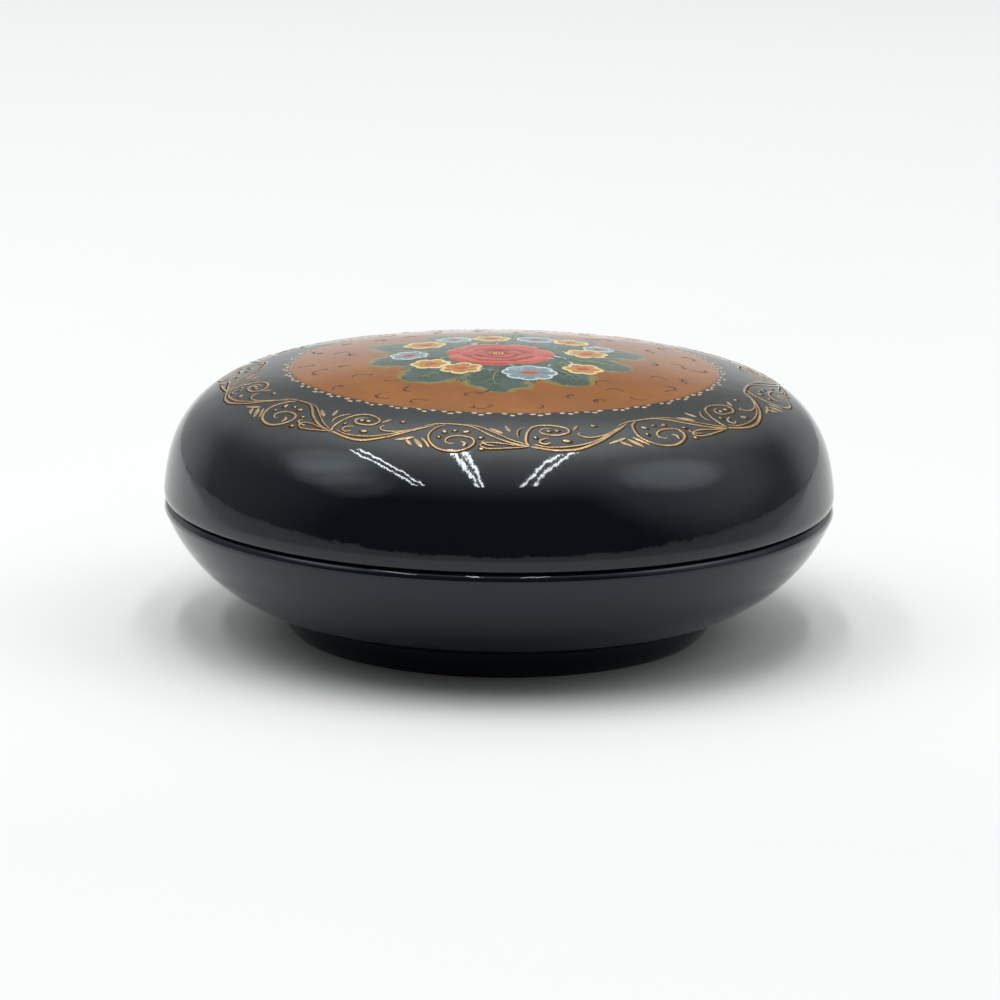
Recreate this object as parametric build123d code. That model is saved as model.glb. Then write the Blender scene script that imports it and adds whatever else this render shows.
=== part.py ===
from build123d import *
import os
from math import asin, cos, radians, sin, sqrt

# A round lacquered trinket box: a domed lift-off lid, a shallow bowl, the inner collar that
# the lid drops over, and a low foot ring. Every piece is turned about the Z axis.
# Millimetres. The origin is the centre of the foot's underside, and +Z points up.

# Lid. Its outside is five arcs, each tangent to the next. A slope is the fall of the surface
# at that place, from 0 at the apex to 90 degrees at the widest circle.
lid_radius = 55.0  # the widest circle of the lid, and of the whole box
bulge_height = 1.5  # from the seam up to that widest circle
tuck_radius = 3.0  # draws the lid in below its widest circle
side_radius = 25.0  # the rather straight side
side_slope = radians(75)  # where the side becomes the shoulder
shoulder_radius = 15.9
shoulder_slope = radians(18.5)  # where the shoulder begins to flatten
blend_radius = 38.0
crown_slope = radians(10)  # where the crown begins
lid_wall = 3.2
lid_rim_wall = 4.9  # from the widest circle in to the bore that drops over the collar
lid_rim_round = 0.8
lid_bore_round = 0.7

# Bowl
seam_height = 22.0  # where the lid's rim rests on the bowl's mouth
mouth_step = 0.5  # the bowl's mouth corner, before it is rounded, past the lid's widest circle
mouth_round = 1.3  # brings the bowl's mouth back in, just under the lid's rim
bowl_arc_radius = 26.5  # section of the bowl from the mouth to the foot
bowl_wall = 3.2
floor_thickness = 3.5
floor_blend = 5.0  # round between the bowl's inner wall and its floor

# Collar glued into the bowl's mouth
collar_thickness = 1.6
collar_seat_depth = 6.0  # how far it reaches down into the bowl
collar_stand = 4.6  # how far it stands up into the lid
collar_round = 0.6
lid_clearance = 0.3  # between the lid's bore and the collar, all round
glue_line = 0.05  # between the collar and the bowl, all round

# Foot ring glued under the bowl
foot_radius = 36.5  # at the top, against the bowl
foot_height = 4.4
foot_wall = 5.0
foot_lean = 2.5  # how far its side leans in on the way down, before the lower edge is rounded
foot_side_radius = 8.0  # section of its side
foot_edge_round = 0.6
foot_inner_round = 0.6

# Sizes that follow from those above
bulge_z = seam_height + bulge_height
lid_bore_radius = lid_radius - lid_rim_wall
collar_radius = lid_bore_radius - lid_clearance
collar_bore_radius = collar_radius - collar_thickness
collar_bottom_z = seam_height - collar_seat_depth
collar_top_z = seam_height + collar_stand
collar_seat_radius = collar_radius + glue_line
mouth_radius = lid_radius + mouth_step
floor_z = foot_height + floor_thickness
foot_bore_radius = foot_radius - foot_wall
foot_base_radius = foot_radius - foot_lean

rim_r = lid_radius - tuck_radius + sqrt(tuck_radius**2 - bulge_height**2)

# The centres of the lid's arcs follow from the widest circle. The crown's lies on the axis,
# which gives the crown its radius.
side_centre_r = lid_radius - side_radius
shoulder_centre_r = side_centre_r + (side_radius - shoulder_radius) * sin(side_slope)
shoulder_centre_z = bulge_z + (side_radius - shoulder_radius) * cos(side_slope)
blend_centre_r = shoulder_centre_r - (blend_radius - shoulder_radius) * sin(shoulder_slope)
blend_centre_z = shoulder_centre_z - (blend_radius - shoulder_radius) * cos(shoulder_slope)
crown_radius = blend_radius + blend_centre_r / sin(crown_slope)
crown_centre_z = blend_centre_z - (crown_radius - blend_radius) * cos(crown_slope)
lid_top_z = crown_centre_z + crown_radius
dome_arcs = [
    (0, crown_centre_z, crown_radius, 0, crown_slope),
    (blend_centre_r, blend_centre_z, blend_radius, crown_slope, shoulder_slope),
    (shoulder_centre_r, shoulder_centre_z, shoulder_radius, shoulder_slope, side_slope),
    (side_centre_r, bulge_z, side_radius, side_slope, radians(90)),
]


def bowl_arc_centre():
    """Centre of the arc through the mouth corner and the top of the foot."""
    half_r = (mouth_radius - foot_radius) / 2
    half_z = (seam_height - foot_height) / 2
    half_chord = sqrt(half_r**2 + half_z**2)
    reach = sqrt(bowl_arc_radius**2 - half_chord**2)
    centre_r = foot_radius + half_r - reach * half_z / half_chord
    centre_z = foot_height + half_z + reach * half_r / half_chord
    return centre_r, centre_z


def turned(section):
    """The solid that a section in the XZ plane sweeps in one turn about Z."""
    return revolve(section, Axis.Z)


def section_face(*edges):
    """A face from edges drawn end to end, with X as the radius and Y as the height, stood upright."""
    return Plane.XZ * make_face(Curve() + list(edges))


def section_box(inner_r, outer_r, low_z, high_z):
    """A rectangular section between two radii and two heights."""
    corners = [(inner_r, low_z), (outer_r, low_z), (outer_r, high_z), (inner_r, high_z)]
    return Plane.XZ * make_face(Polyline(*corners, close=True))


def rounded(section, radius, r, z):
    """The section with its corner at radius r and height z rounded."""
    corner = section.vertices().sort_by_distance(Vector(r, 0, z))[0]
    return fillet(corner, radius)


def dome_edges(inset):
    """The lid's arcs from the apex to the widest circle, moved in by inset, with their two ends."""
    edges = []
    for centre_r, centre_z, radius, start, end in dome_arcs:
        reach = radius - inset
        slopes = (start, (start + end) / 2, end)
        points = [(centre_r + reach * sin(s), centre_z + reach * cos(s)) for s in slopes]
        edges.append(ThreePointArc(*points))
    return edges, (0, lid_top_z - inset), points[-1]


def dome_outside():
    """Everything under the lid's outer surface, down to the seam."""
    edges, top, widest = dome_edges(0)
    drop = asin(bulge_height / tuck_radius) / 2
    tuck_mid = (lid_radius - tuck_radius + tuck_radius * cos(drop), bulge_z - tuck_radius * sin(drop))
    return section_face(
        Line((0, seam_height), top),
        *edges,
        ThreePointArc(widest, tuck_mid, (rim_r, seam_height)),
        Line((rim_r, seam_height), (0, seam_height)),
    )


def dome_inside():
    """Everything under the lid's inner surface, with straight sides down to the seam."""
    edges, top, widest = dome_edges(lid_wall)
    low = (widest[0], seam_height)
    return section_face(
        Line((0, seam_height), top),
        *edges,
        Line(widest, low),
        Line(low, (0, seam_height)),
    )


def bowl_section(inset, low_z, high_z):
    """Everything inside the bowl's outer arc moved in by inset, between two heights."""
    centre_r, centre_z = bowl_arc_centre()
    radius = bowl_arc_radius - inset
    low_r = centre_r + sqrt(radius**2 - (centre_z - low_z) ** 2)
    high_r = centre_r + sqrt(radius**2 - (centre_z - high_z) ** 2)
    mid_angle = (asin((centre_z - low_z) / radius) + asin((centre_z - high_z) / radius)) / 2
    mid = (centre_r + radius * cos(mid_angle), centre_z - radius * sin(mid_angle))
    return section_face(
        Line((0, high_z), (0, low_z)),
        Line((0, low_z), (low_r, low_z)),
        ThreePointArc((low_r, low_z), mid, (high_r, high_z)),
        Line((high_r, high_z), (0, high_z)),
    )


def make_lid():
    """Domed lid: even wall over the crown, thicker at the rim, with a straight bore for the collar."""
    outside = rounded(dome_outside(), lid_rim_round, rim_r, seam_height)
    bore = section_box(0, lid_bore_radius, seam_height, lid_top_z)
    cavity = dome_inside() & bore
    shell = rounded(outside - cavity, lid_bore_round, lid_bore_radius, seam_height)
    return turned(shell)


def make_bowl():
    """Shallow bowl with a flat underside for the foot and a stepped mouth for the collar."""
    outside = bowl_section(0, foot_height, seam_height)
    outside = rounded(outside, mouth_round, mouth_radius, seam_height)
    cavity = bowl_section(bowl_wall, floor_z, collar_bottom_z)
    floor_corner = cavity.vertices().sort_by(Axis.Z)[:2].sort_by(Axis.X)[-1]
    cavity = fillet(floor_corner, floor_blend)
    seat = section_box(0, collar_seat_radius, collar_bottom_z, seam_height)
    return turned(outside - (cavity + seat))


def make_collar():
    """Inner collar: the lower part sits in the bowl's step, the upper part guides the lid."""
    ring = section_box(collar_bore_radius, collar_radius, collar_bottom_z, collar_top_z)
    ring = rounded(ring, collar_round, collar_radius, collar_top_z)
    ring = rounded(ring, collar_round, collar_bore_radius, collar_top_z)
    return turned(ring)


def make_foot():
    """Low ring under the bowl, its side bulging and leaning in towards the table."""
    bottom, top = (foot_base_radius, 0), (foot_radius, foot_height)
    ring = section_face(
        Line((foot_bore_radius, foot_height), (foot_bore_radius, 0)),
        Line((foot_bore_radius, 0), bottom),
        RadiusArc(bottom, top, -foot_side_radius),
        Line(top, (foot_bore_radius, foot_height)),
    )
    ring = rounded(ring, foot_edge_round, foot_base_radius, 0)
    ring = rounded(ring, foot_inner_round, foot_bore_radius, 0)
    return turned(ring)


pieces = {
    "lid": make_lid(),
    "bowl": make_bowl(),
    "inner_collar": make_collar(),
    "foot_ring": make_foot(),
}

os.makedirs("parts", exist_ok=True)
for name, solid in pieces.items():
    solid.label = name
    export_step(solid, f"parts/{name}.step")
    size = solid.bounding_box().size
    print(f"{name}: volume {solid.volume:.0f} mm3, size {size.X:.1f} x {size.Y:.1f} x {size.Z:.1f} mm")
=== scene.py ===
import bmesh
import bpy
import numpy as np
import random
from math import asin, atan2, ceil, cos, hypot, pi, radians, sin, sqrt
from mathutils import Matrix, Vector


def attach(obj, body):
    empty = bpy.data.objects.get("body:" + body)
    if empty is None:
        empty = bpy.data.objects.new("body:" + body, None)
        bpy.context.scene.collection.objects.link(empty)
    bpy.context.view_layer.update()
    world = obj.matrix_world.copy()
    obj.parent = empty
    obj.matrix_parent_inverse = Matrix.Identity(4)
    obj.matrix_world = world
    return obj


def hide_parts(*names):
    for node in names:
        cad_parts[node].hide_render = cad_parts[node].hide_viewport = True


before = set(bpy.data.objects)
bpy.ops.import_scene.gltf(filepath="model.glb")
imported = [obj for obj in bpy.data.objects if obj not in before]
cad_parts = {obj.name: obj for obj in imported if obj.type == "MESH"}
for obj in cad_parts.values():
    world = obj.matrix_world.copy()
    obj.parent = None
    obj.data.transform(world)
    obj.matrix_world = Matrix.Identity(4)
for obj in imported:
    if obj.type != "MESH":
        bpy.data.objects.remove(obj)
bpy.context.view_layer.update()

# Lengths below are in millimetres, and meshes are scaled to metres when they are made.
MM = 0.001

# Sizes of the pieces, the same as in the built frame
LID_RADIUS = 55.0
BULGE_HEIGHT = 1.5
TUCK_RADIUS = 3.0
SIDE_RADIUS = 25.0
SIDE_SLOPE = radians(75)
SHOULDER_RADIUS = 15.9
SHOULDER_SLOPE = radians(18.5)
BLEND_RADIUS = 38.0
CROWN_SLOPE = radians(10)
LID_WALL = 3.2
LID_RIM_WALL = 4.9
LID_RIM_ROUND = 0.8
LID_BORE_ROUND = 0.7
SEAM_HEIGHT = 22.0
MOUTH_STEP = 0.5
MOUTH_ROUND = 1.3
BOWL_ARC_RADIUS = 26.5
BOWL_WALL = 3.2
FLOOR_THICKNESS = 3.5
FLOOR_BLEND = 5.0
COLLAR_THICKNESS = 1.6
COLLAR_SEAT_DEPTH = 6.0
COLLAR_STAND = 4.6
COLLAR_ROUND = 0.6
LID_CLEARANCE = 0.3
GLUE_LINE = 0.05
FOOT_RADIUS = 36.5
FOOT_HEIGHT = 4.4
FOOT_WALL = 5.0
FOOT_LEAN = 2.5
FOOT_SIDE_RADIUS = 8.0
FOOT_EDGE_ROUND = 0.6
FOOT_INNER_ROUND = 0.6

BULGE_Z = SEAM_HEIGHT + BULGE_HEIGHT
BORE_RADIUS = LID_RADIUS - LID_RIM_WALL
COLLAR_RADIUS = BORE_RADIUS - LID_CLEARANCE
COLLAR_BOTTOM = SEAM_HEIGHT - COLLAR_SEAT_DEPTH
COLLAR_TOP = SEAM_HEIGHT + COLLAR_STAND
SEAT_RADIUS = COLLAR_RADIUS + GLUE_LINE
FLOOR_Z = FOOT_HEIGHT + FLOOR_THICKNESS
FOOT_BASE_RADIUS = FOOT_RADIUS - FOOT_LEAN

# The lid's arcs, from the widest circle up. The crown's centre lies on the axis.
SIDE_CENTRE_R = LID_RADIUS - SIDE_RADIUS
SHOULDER_CENTRE_R = SIDE_CENTRE_R + (SIDE_RADIUS - SHOULDER_RADIUS) * sin(SIDE_SLOPE)
SHOULDER_CENTRE_Z = BULGE_Z + (SIDE_RADIUS - SHOULDER_RADIUS) * cos(SIDE_SLOPE)
BLEND_CENTRE_R = SHOULDER_CENTRE_R - (BLEND_RADIUS - SHOULDER_RADIUS) * sin(SHOULDER_SLOPE)
BLEND_CENTRE_Z = SHOULDER_CENTRE_Z - (BLEND_RADIUS - SHOULDER_RADIUS) * cos(SHOULDER_SLOPE)
CROWN_RADIUS = BLEND_RADIUS + BLEND_CENTRE_R / sin(CROWN_SLOPE)
CROWN_CENTRE_Z = BLEND_CENTRE_Z - (CROWN_RADIUS - BLEND_RADIUS) * cos(CROWN_SLOPE)

# The lid's visible side is not quite the built arc. From the shoulder down it runs these lengths
# and turns by these angles, least in the middle run and most just over the widest circle.
SIDE_RUNS = [(2.1, radians(5.3)), (3.6, radians(2.0)), (0.85, radians(7.7))]
DOME_EASE = 3.0  # the lid's arcs grow into each other over this length, each way

# How finely shapes are divided
TURN_STEPS = 384
ARC_STEP = radians(3)
LINE_STEP = 2.0
DOME_FINE = 0.05  # step of the table that the dome is read from
DOME_STEP = 0.4  # between two rows of the lid's outside
DOME_CLOSE_STEP = 0.2  # between two rows near the widest circle
DOME_CLOSE = 3.0  # up to this height over the widest circle the rows lie closer together

# The photograph's view
CAMERA_DISTANCE = 700.0
CAMERA_ELEVATION = radians(13.0)
CAMERA_ROLL = radians(0.684)
CAMERA_AIM = (0.168, -0.649, 21.164)
FRAME_WIDTH = 164.6  # across the picture, at the aim
SENSOR = 36.0

# The painted lid. Medallion and border each lie a little off the lid's middle.
MEDALLION_RADIUS = 35.15
MEDALLION_X = 0.66
MEDALLION_Y = 0.26
GROUND_LIFT = 0.02  # thickness of the medallion's ground
DOT_RING = 35.45  # radius of the ring of dots
DOT_STEP = 0.5  # how much further out the middle touch of each three lies
DOT_GROUPS = 49
BORDER_X = 0.7
BORDER_Y = -0.14
BORDER_RUN = 43.8  # middle of the scroll border, measured over the dome from the apex
BORDER_RADIUS = 43.3  # lengths along the border are counted at this radius


# Shapes turned about the Z axis


def arc(centre_r, centre_z, radius, start, end):
    """Points along an arc in the section plane, angles counted from the outward radius up."""
    count = max(2, ceil(abs(end - start) / ARC_STEP))
    angles = [start + (end - start) * i / count for i in range(count + 1)]
    return [(centre_r + radius * cos(a), centre_z + radius * sin(a)) for a in angles]


def line(start, end):
    """Points along a straight run, both ends included."""
    count = max(1, ceil(hypot(end[0] - start[0], end[1] - start[1]) / LINE_STEP))
    return [
        (start[0] + (end[0] - start[0]) * i / count, start[1] + (end[1] - start[1]) * i / count)
        for i in range(count + 1)
    ]


def arc_centre(low, high, radius):
    """Centre of the arc that bulges outward between two points of the section."""
    half_r = (high[0] - low[0]) / 2
    half_z = (high[1] - low[1]) / 2
    half_chord = hypot(half_r, half_z)
    reach = sqrt(radius**2 - half_chord**2)
    centre_r = low[0] + half_r - reach * half_z / half_chord
    return centre_r, low[1] + half_z + reach * half_r / half_chord


def angle_at(centre_z, radius, z):
    """Angle at which an arc passes a height below its centre."""
    return -asin((centre_z - z) / radius)


def round_inside(centre_r, centre_z, radius, z):
    """A small round inside an arc, its centre on the given radius at height z.

    Gives its distance from the axis and the angle at which it meets the arc.
    """
    return centre_r + sqrt(radius**2 - (centre_z - z) ** 2), angle_at(centre_z, radius, z)


def dome_table():
    """Distance from the apex, radius, height and slope down the lid's outside, as four arrays.

    The slope is averaged over a short length, so that the curve changes gradually from one arc to
    the next, as on a lid that was sanded by hand.
    """
    bends = [
        (CROWN_RADIUS, CROWN_SLOPE),
        (BLEND_RADIUS, SHOULDER_SLOPE - CROWN_SLOPE),
        (SHOULDER_RADIUS, SIDE_SLOPE - SHOULDER_SLOPE),
        *((length / turn, turn) for length, turn in SIDE_RUNS),
        (TUCK_RADIUS, asin(BULGE_HEIGHT / TUCK_RADIUS)),
    ]
    knots = [0.0]
    slopes = [0.0]
    for radius, angle in bends:
        knots.append(knots[-1] + radius * angle)
        slopes.append(slopes[-1] + angle)
    widest = knots[-2]
    run = np.arange(0, knots[-1], DOME_FINE)
    exact = np.interp(run, knots, slopes)
    area = np.concatenate(([0], np.cumsum((exact[1:] + exact[:-1]) / 2 * DOME_FINE)))
    reach = np.minimum(np.minimum(run, np.maximum(widest - run, 0)), DOME_EASE)
    reach = np.maximum(reach, 1e-6)
    high = np.interp(run + reach, run, area)
    low = np.interp(run - reach, run, area)
    slope = np.where(reach > DOME_FINE, (high - low) / (2 * reach), exact)
    middle = (slope[1:] + slope[:-1]) / 2
    radius = np.concatenate(([0], np.cumsum(DOME_FINE * np.cos(middle))))
    height = np.concatenate(([0], np.cumsum(-DOME_FINE * np.sin(middle))))
    height += BULGE_Z - np.interp(widest, run, height)
    radius *= LID_RADIUS / radius.max()
    return run, radius, height, slope


DOME = dome_table()


def lid_profile():
    """The lid's section and the count of its outside points, from the apex down and up the inside."""
    run, radius, height, slope = DOME
    round_z = SEAM_HEIGHT + LID_RIM_ROUND
    tuck_r = LID_RADIUS - TUCK_RADIUS
    round_r, meet = round_inside(tuck_r, BULGE_Z, TUCK_RADIUS - LID_RIM_ROUND, round_z)
    every = round(DOME_STEP / DOME_FINE)
    close = round(DOME_CLOSE_STEP / DOME_FINE)
    outside = [
        (radius[i], height[i])
        for i in range(0, len(run), close)
        if height[i] > BULGE_Z + DOME_FINE and (i % every == 0 or height[i] < BULGE_Z + DOME_CLOSE)
    ]
    rim = arc(round_r, round_z, LID_RIM_ROUND, meet, -pi / 2)[1:]
    outside += arc(tuck_r, BULGE_Z, TUCK_RADIUS, 0, meet) + rim
    flat = line(rim[-1], (BORE_RADIUS + LID_BORE_ROUND, SEAM_HEIGHT))[1:-1]
    bore_round = arc(
        BORE_RADIUS + LID_BORE_ROUND, SEAM_HEIGHT + LID_BORE_ROUND, LID_BORE_ROUND, -pi / 2, -pi
    )
    inner = SHOULDER_RADIUS - LID_WALL
    bore_angle = pi / 2 - asin((BORE_RADIUS - SHOULDER_CENTRE_R) / inner)
    shoulder = arc(SHOULDER_CENTRE_R, SHOULDER_CENTRE_Z, inner, bore_angle, pi / 2 - SHOULDER_SLOPE)
    blend = arc(
        BLEND_CENTRE_R, BLEND_CENTRE_Z, BLEND_RADIUS - LID_WALL,
        pi / 2 - SHOULDER_SLOPE, pi / 2 - CROWN_SLOPE,
    )[1:]
    crown = arc(0, CROWN_CENTRE_Z, CROWN_RADIUS - LID_WALL, pi / 2 - CROWN_SLOPE, pi / 2)[1:]
    bore = line(bore_round[-1], shoulder[0])[1:-1]
    return outside + flat + bore_round + bore + shoulder + blend + crown, len(outside) + len(flat)


def bowl_profile():
    """The bowl's section and the count of its inside points, from the floor's middle outward."""
    mouth_corner = (LID_RADIUS + MOUTH_STEP, SEAM_HEIGHT)
    centre_r, centre_z = arc_centre((FOOT_RADIUS, FOOT_HEIGHT), mouth_corner, BOWL_ARC_RADIUS)
    inner = BOWL_ARC_RADIUS - BOWL_WALL
    blend_z = FLOOR_Z + FLOOR_BLEND
    blend_r, blend_end = round_inside(centre_r, centre_z, inner - FLOOR_BLEND, blend_z)
    ledge_angle = angle_at(centre_z, inner, COLLAR_BOTTOM)
    floor = line((0, FLOOR_Z), (blend_r, FLOOR_Z))
    blend = arc(blend_r, blend_z, FLOOR_BLEND, -pi / 2, blend_end)[1:]
    wall = arc(centre_r, centre_z, inner, blend_end, ledge_angle)[1:]
    seat = line((SEAT_RADIUS, COLLAR_BOTTOM), (SEAT_RADIUS, SEAM_HEIGHT))
    inside = floor + blend + wall + seat
    round_z = SEAM_HEIGHT - MOUTH_ROUND
    round_r, meet = round_inside(centre_r, centre_z, BOWL_ARC_RADIUS - MOUTH_ROUND, round_z)
    mouth = arc(round_r, round_z, MOUTH_ROUND, pi / 2, meet)
    foot_angle = angle_at(centre_z, BOWL_ARC_RADIUS, FOOT_HEIGHT)
    outside = arc(centre_r, centre_z, BOWL_ARC_RADIUS, meet, foot_angle)[1:]
    underside = line(outside[-1], (0, FOOT_HEIGHT))[1:]
    return inside + mouth + outside + underside, len(inside) - 1


def collar_profile():
    """The collar's closed section: a plain band with its upper edge rounded."""
    inner = COLLAR_RADIUS - COLLAR_THICKNESS
    high = COLLAR_TOP - COLLAR_ROUND
    outer_round = arc(COLLAR_RADIUS - COLLAR_ROUND, high, COLLAR_ROUND, 0, pi / 2)
    inner_round = arc(inner + COLLAR_ROUND, high, COLLAR_ROUND, pi / 2, pi)
    bottom = line((inner, COLLAR_BOTTOM), (COLLAR_RADIUS, COLLAR_BOTTOM))
    outside = line((COLLAR_RADIUS, COLLAR_BOTTOM), outer_round[0])[1:-1]
    inside = line(inner_round[-1], (inner, COLLAR_BOTTOM))[1:-1]
    return bottom + outside + outer_round + inner_round + inside


def foot_profile():
    """The foot ring's closed section, its side bulging and leaning in towards the table."""
    inner = FOOT_RADIUS - FOOT_WALL
    top_corner = (FOOT_RADIUS, FOOT_HEIGHT)
    centre_r, centre_z = arc_centre((FOOT_BASE_RADIUS, 0), top_corner, FOOT_SIDE_RADIUS)
    side_reach = FOOT_SIDE_RADIUS - FOOT_EDGE_ROUND
    edge_r, meet = round_inside(centre_r, centre_z, side_reach, FOOT_EDGE_ROUND)
    high = angle_at(centre_z, FOOT_SIDE_RADIUS, FOOT_HEIGHT)
    bottom_in = arc(inner + FOOT_INNER_ROUND, FOOT_INNER_ROUND, FOOT_INNER_ROUND, pi, 1.5 * pi)
    bottom_out = arc(edge_r, FOOT_EDGE_ROUND, FOOT_EDGE_ROUND, -pi / 2, meet)
    outside = arc(centre_r, centre_z, FOOT_SIDE_RADIUS, meet, high)[1:]
    top = line(top_corner, (inner, FOOT_HEIGHT))[1:]
    inside = line((inner, FOOT_HEIGHT), bottom_in[0])[1:-1]
    return bottom_in + bottom_out + outside + top + inside


def new_object(name, points, faces):
    """A smooth-shaded mesh object from points in millimetres, with its faces turned outward."""
    mesh = bpy.data.meshes.new(name)
    mesh.from_pydata([tuple(p) for p in np.asarray(points, float) * MM], [], faces)
    build = bmesh.new()
    build.from_mesh(mesh)
    bmesh.ops.recalc_face_normals(build, faces=build.faces)
    build.to_mesh(mesh)
    build.free()
    mesh.polygons.foreach_set("use_smooth", [True] * len(mesh.polygons))
    mesh.update()
    made = bpy.data.objects.new(name, mesh)
    bpy.context.scene.collection.objects.link(made)
    return made


def band(low, high, count):
    """Faces between two rings of points, which start at low and at high."""
    return [(low + k, high + k, high + (k + 1) % count, low + (k + 1) % count) for k in range(count)]


def caps(middle, last, count):
    """Faces from two middle points, one to the first ring of points and the next to the last ring."""
    faces = []
    for k in range(count):
        nxt = (k + 1) % count
        faces += [(middle, k, nxt), (middle + 1, last + nxt, last + k)]
    return faces


def lathe(name, profile, materials, split=None):
    """A closed section turned about Z.

    With a split, the section is open and starts and ends on the axis instead, and its rows from
    the split on are in the second material.
    """
    ring = [(r, z) for r, z in profile if r > 1e-6]
    turns = [2 * pi * k / TURN_STEPS for k in range(TURN_STEPS)]
    points = [(r * cos(a), r * sin(a), z) for r, z in ring for a in turns]
    faces = []
    slots = []
    rows = len(ring)
    for i in range(rows if split is None else rows - 1):
        faces += band(i * TURN_STEPS, (i + 1) % rows * TURN_STEPS, TURN_STEPS)
        slots += [int(split is not None and i >= split - 1)] * TURN_STEPS
    if split is not None:
        faces += caps(len(points), (rows - 1) * TURN_STEPS, TURN_STEPS)
        slots += [0, 1] * TURN_STEPS
        points += [(0, 0, profile[0][1]), (0, 0, profile[-1][1])]
    made = new_object(name, points, faces)
    for material in materials:
        made.data.materials.append(material)
    made.data.polygons.foreach_set("material_index", slots)
    made.data.set_sharp_from_angle(angle=radians(40))
    return made


# The lid's outside as a surface to paint on


def on_dome(run, turn, lift):
    """Points at a distance down the dome from its apex and a turn about Z, lifted off the surface.

    A turn of zero faces the viewer.
    """
    radius, height, slope = (np.interp(run, DOME[0], column) for column in DOME[1:])
    out = radius + lift * np.sin(slope)
    return np.stack([out * np.sin(turn), -out * np.cos(turn), height + lift * np.cos(slope)], -1)


def on_medallion(x, y, lift):
    """Points over a place in plan, counted from the medallion's middle."""
    x = x + MEDALLION_X
    y = y + MEDALLION_Y
    run = np.interp(np.hypot(x, y), DOME[1], DOME[0])
    return on_dome(run, np.arctan2(x, -y), lift)


def on_ground(x, y, lift):
    """Points over a place in plan, lifted off the medallion's painted ground."""
    return on_medallion(x, y, lift + GROUND_LIFT)


def on_border(start_turn):
    """A way to place points of the scroll border: x along it, y outward from its middle."""

    def place(x, y, lift):
        turn = start_turn + x / BORDER_RADIUS
        middle = BORDER_RUN + BORDER_X * np.sin(turn) - BORDER_Y * np.cos(turn)
        return on_dome(middle + y, turn, lift)

    return place


def heading(angle):
    """Unit vector at an angle in plan."""
    return np.array([cos(angle), sin(angle)])


def smooth_curve(points, steps):
    """A smooth curve through given points, with even steps between each two."""
    p = np.array(points, float)
    ends = np.vstack([2 * p[0] - p[1], p, 2 * p[-1] - p[-2]])
    t = np.linspace(0, 1, steps, endpoint=False)[:, None]
    out = []
    for a, b, c, d in zip(ends, ends[1:], ends[2:], ends[3:]):
        square = 2 * a - 5 * b + 4 * c - d
        cube = 3 * b - a - 3 * c + d
        out.append(0.5 * (2 * b + (c - a) * t + square * t**2 + cube * t**3))
    return np.vstack(out + [p[-1:]])


def painted_piece(name, points, faces, values, material):
    """A piece of paint that rides on the lid, with numbers stored on its points."""
    made = new_object(name, points, faces)
    for value, numbers in values.items():
        made.data.attributes.new(value, "FLOAT", "POINT").data.foreach_set("value", numbers)
    made.data.materials.append(material)
    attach(made, "box_lid")


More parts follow.
